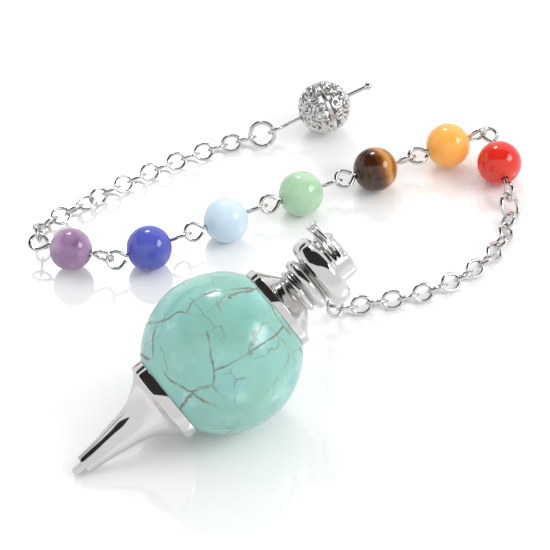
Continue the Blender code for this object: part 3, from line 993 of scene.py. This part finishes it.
@dataclass
class Beads:
    """The seven beads on their eye pins. Sizes are in millimetres."""

    layout: Layout
    lengths: tuple[float, ...] = (13.6, 12.0, 12.3, 12.4, 12.4, 12.4, 12.2)
    wire: float = 0.55
    eye: float = 1.12
    radius: float = 3.0
    small_radius: float = 2.8
    bore: float = 0.45
    plate: SilverPlate = field(default_factory=SilverPlate)

    def build(self) -> None:
        """Makes the seven beads and their pins."""
        silver = self.plate.material("silver_pins", self.layout.centre("eye_pin_1"), 3 * MM)
        for number, stone in enumerate(Stone, 1):
            pin, bead = f"eye_pin_{number}", f"bead_{stone.value}"
            frame = self.layout.pin_frame(pin, bead)
            mesh = wire_mesh(pin, [self.pin_run(self.lengths[number - 1])], self.wire * MM, frame, 5)
            show(f"{pin}_wire", mesh, silver, pin, [pin])
            hole = frame @ Matrix.Rotation(math.pi / 2, 4, "Y")
            finish = STONES[stone].material(stone, frame.translation, hole)
            ball = turned_mesh(bead, self.bead_outline(stone), hole, 72, ring=True)
            show(f"{stone.value}_bead", ball, finish, bead, [bead])

    def bead_outline(self, stone: Stone) -> Outline:
        """A bored ball; the violet one is a little smaller and fuller on one side."""
        radius = self.small_radius if stone is Stone.VIOLET else self.radius
        mouth = math.degrees(math.asin((self.bore + 0.08) / radius))
        outline = Outline().arc((0, 0), radius, mouth, 180 - mouth, 60)
        if stone is Stone.VIOLET:
            for point in outline.points:
                point.x *= 1 + 0.035 * point.y / radius
        tip = radius * math.cos(math.radians(mouth))
        return outline.line((self.bore, -tip + 0.1), (self.bore, tip - 0.1))

    def eye_run(self) -> list[Vector]:
        """A near eye about the origin in the XY plane, from its cut end round to its neck."""
        bend = [(1.1, 0.36), (0.9, 0.62)]
        bend += [(math.cos(math.radians(a)), math.sin(math.radians(a))) for a in range(56, 310, 16)]
        bend += [(0.86, -0.62), (1.1, -0.36), (1.33, -0.12), (1.55, 0.0)]
        return smooth_way([Vector((x, y, 0)) * self.eye * MM for x, y in bend], 4)

    def pin_run(self, length: float) -> list[Vector]:
        """A pin from one eye to the other, about the middle of its bead."""
        reach = (length / 2 - self.wire / 2 - self.eye) * MM
        near = [point - Vector((reach, 0, 0)) for point in self.eye_run()]
        far = [Vector((-point.x, 0, point.y)) for point in reversed(near)]
        return near + far


@dataclass
class FiligreeEnd:
    """The pierced ball that ends the chain, and its headed pin. Sizes are in millimetres."""

    layout: Layout
    radius: float = 3.65
    wire: float = 0.44
    pin_wire: float = 0.55
    eye: float = 1.12
    back: float = 0.675
    ball_at: float = 7.8
    head_at: float = 14.6
    gores: int = 5
    plate: SilverPlate = field(default_factory=SilverPlate)

    def build(self) -> None:
        """Makes the ball and the pin."""
        silver = self.plate.material("silver_filigree", self.layout.centre("filigree_ball"), 2 * MM)
        frame = self.layout.pin_frame("end_pin", "filigree_ball")
        axis = frame @ Matrix.Rotation(math.pi / 2, 4, "Y")
        base = wire_mesh("gore", self.gore_runs(), self.wire * MM, Matrix.Identity(4), 2)
        values = {"Gores": self.gores, "Half Turn": 0.5, "Finish": silver}
        mesh = grown("filigree_ball", gore_tree(), base, values, axis)
        mesh.set_sharp_from_angle(angle=math.radians(60))
        show("filigree_scrolls", mesh, silver, "filigree_ball", ["filigree_ball"])
        run, swell = self.pin_run()
        pin = wire_mesh("end_pin", [run], self.pin_wire * MM, frame, 5, swell=swell)
        show("end_pin_wire", pin, silver, "end_pin", ["end_pin"])

    def on_ball(self, down: float, round_: float, lift: float = 0.0) -> Vector:
        """The point of the ball's shell at these degrees down from the pole and round it."""
        shell = (self.radius - self.wire / 2 + lift) * MM
        fall, spin = math.radians(down), math.radians(round_)
        return Vector((math.sin(fall) * math.cos(spin), math.sin(fall) * math.sin(spin), math.cos(fall))) * shell

    def around(self, down: float, round_: float, size: float, start: float, end: float, shrink: float = 0.0,
               count: int = 22) -> list[Vector]:
        """An arc or scroll on the shell.

        Args:
            down: its centre's degrees down from the pole.
            round_: its centre's degrees round the pole.
            size: its radius in degrees.
            start: the angle that it starts at.
            end: the angle that it ends at.
            shrink: the share of its radius that it loses on the way.
            count: how many steps it has.

        Returns:
            Its points.
        """
        wide = 1 / max(math.sin(math.radians(down)), 0.3)
        run = []
        for i in range(count + 1):
            angle = math.radians(start + (end - start) * i / count)
            reach = size * (1 - shrink * i / count)
            run.append(self.on_ball(down + reach * math.cos(angle), round_ + wide * reach * math.sin(angle)))
        return run

    def gore_runs(self) -> list[list[Vector]]:
        """The wires of one gore: rims, a petal with a ring in it, and a pair of scrolls."""
        half = 180 / self.gores
        rim = [self.on_ball(16, -half + half * i / 4) for i in range(9)]
        band = [self.on_ball(88.5, -half + half * i / 6) for i in range(13)]
        petal = [(18, 0), (27, 17), (37, 24), (47, 22), (57, 11), (62, 0), (57, -11), (47, -22), (37, -24),
                 (27, -17), (18, 0)]
        leaf = smooth_way([self.on_ball(down, round_) for down, round_ in petal], 3)
        scrolls = []
        for side in (-1, 1):
            scrolls.append(self.around(70, side * half * 0.46, 14, 180, 180 + side * 480, 0.7, 30))
            scrolls.append(self.around(62, side * half * 0.98, 10, 0, side * 360, 0.35, 24))
        ring = self.around(40, 0, 8.5, 0, 360)
        dot = self.around(34, half, 6.5, 0, 360, count=14)
        return [rim, band, leaf, *scrolls, ring, dot]

    def pin_run(self) -> tuple[list[Vector], list[float]]:
        """The headed pin about the middle of the ball, and its thickness along the way."""
        eye_at = (self.eye - self.back - self.ball_at) * MM
        shape = Beads(self.layout, wire=self.pin_wire, eye=self.eye)
        near = [point + Vector((eye_at, 0, 0)) for point in shape.eye_run()]
        head = [(-0.6, 1.0), (-0.45, 1.3), (-0.28, 1.85), (-0.05, 2.15), (0.2, 2.1), (0.4, 1.6), (0.52, 0.9)]
        tail = [Vector(((self.head_at - self.ball_at + step) * MM, 0, 0)) for step, _ in head]
        return near + tail, [1.0] * len(near) + [size for _, size in head]


# ------------------------------------------------------------------------------------------------ the studio


@dataclass
class Studio:
    """The white table, the lights, the dark cards that the silver mirrors, and the camera."""

    layout: Layout
    sky: float = 0.97

    def build(self) -> None:
        """Sets everything round the object."""
        ball = self.layout.centre("stone_ball")
        self.foot = Vector((ball.x, ball.y, 0.0))
        self.world()
        self.table()
        middle = self.foot + Vector((6, 20, 5)) * MM
        self.softbox("back_light", middle, Vector((-0.15, 0.73, 0.66)), 0.11, 0.085, 18.0)
        self.softbox("side_light", middle, Vector((0.77, -0.1, 0.63)), 0.25, 0.19, 6.0)
        self.card("top_card", (-0.85, -0.27), (0.56, 0.33))
        self.card("left_card", (-0.85, 0.33), (-0.2, 0.8))
        self.card("low_card", (-0.9, 0.4), (-0.22, 1.0), 0.2)
        self.camera()

    def world(self) -> None:
        """An even white surround."""
        made = bpy.data.worlds.new("white_tent")
        made.use_nodes = True
        back = made.node_tree.nodes["Background"]
        back.inputs[0].default_value = (1.0, 1.0, 1.0, 1.0)
        back.inputs[1].default_value = self.sky
        bpy.context.scene.world = made
        bpy.context.scene.view_settings.view_transform = "Standard"

    def table(self) -> None:
        """The glossy white table."""
        box = bmesh.new()
        bmesh.ops.create_grid(box, x_segments=1, y_segments=1, size=2.0)
        mesh = bpy.data.meshes.new("table")
        box.to_mesh(mesh)
        box.free()
        paint = Paint("white_gloss", Vector((0, 0, 0)))
        paint.set(Base_Color=(0.93, 0.93, 0.93), Roughness=0.08, IOR=1.8)
        mesh.materials.append(paint.material)
        table = bpy.data.objects.new("table", mesh)
        bpy.context.scene.collection.objects.link(table)

    def facing(self, middle: Vector, towards: Vector, away: float) -> Matrix:
        """The frame of something that far away in a direction and facing the middle, its X level."""
        back = towards.normalized()
        side = Vector((0, 0, 1)).cross(back).normalized()
        turned = Matrix((side, back.cross(side), back)).transposed().to_4x4()
        return Matrix.Translation(middle + back * away) @ turned

    def softbox(self, name: str, middle: Vector, towards: Vector, wide: float, high: float, power: float) -> None:
        """A rectangular light half a metre away.

        Args:
            name: the light's name.
            middle: what it shines on.
            towards: the direction that it stands in.
            wide: its width.
            high: its height.
            power: its radiance.
        """
        light = bpy.data.lights.new(name, "AREA")
        light.shape = "RECTANGLE"
        light.size, light.size_y = wide, high
        light.energy = power * wide * high * math.pi
        made = bpy.data.objects.new(name, light)
        made.matrix_world = self.facing(middle, towards, 0.5)
        bpy.context.scene.collection.objects.link(made)

    def card(self, name: str, low: tuple[float, float], high: tuple[float, float], level: float = 0.55) -> None:
        """A level dark card overhead that only mirrors see.

        Args:
            name: the card's name.
            low: its low corner in X and Y, from the ball.
            high: its high corner.
            level: its height.
        """
        middle = self.foot + Vector(((low[0] + high[0]) / 2, (low[1] + high[1]) / 2, level))
        size = Matrix.Diagonal((high[0] - low[0], high[1] - low[1], 1, 1))
        box = bmesh.new()
        bmesh.ops.create_grid(box, x_segments=1, y_segments=1, size=0.5, matrix=Matrix.Translation(middle) @ size)
        mesh = bpy.data.meshes.new(name)
        box.to_mesh(mesh)
        box.free()
        paint = Paint(name, Vector((0, 0, 0)))
        paint.set(Base_Color=(0.02, 0.018, 0.015), Roughness=0.9)
        mesh.materials.append(paint.material)
        made = bpy.data.objects.new(name, mesh)
        made.visible_camera = made.visible_diffuse = made.visible_shadow = made.visible_transmission = False
        bpy.context.scene.collection.objects.link(made)

    def camera(self) -> None:
        """The camera in front, halfway up, looking down at the table."""
        data = bpy.data.cameras.new("camera")
        data.sensor_width, data.lens = 36.0, 150.5
        data.clip_start, data.clip_end = 0.01, 10.0
        camera = bpy.data.objects.new("camera", data)
        eye = self.foot + Vector((6.40, -188.97, 212.13)) * MM
        aim = self.foot + Vector((6.40, 23.16, 0.0)) * MM
        camera.matrix_world = Matrix.Translation(eye) @ (aim - eye).to_track_quat("-Z", "Y").to_matrix().to_4x4()
        bpy.context.scene.collection.objects.link(camera)
        bpy.context.scene.camera = camera


def main() -> None:
    """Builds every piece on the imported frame, then the studio."""
    logging.basicConfig(level=logging.INFO, format="%(name)s %(message)s")
    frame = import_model()
    layout = Layout(frame["joints"])
    for assembly in (Pendulum(layout), Chain(layout), Beads(layout), FiligreeEnd(layout)):
        assembly.build()
    Studio(layout).build()
    bpy.context.view_layer.update()


if __name__ == "__main__":
    main()
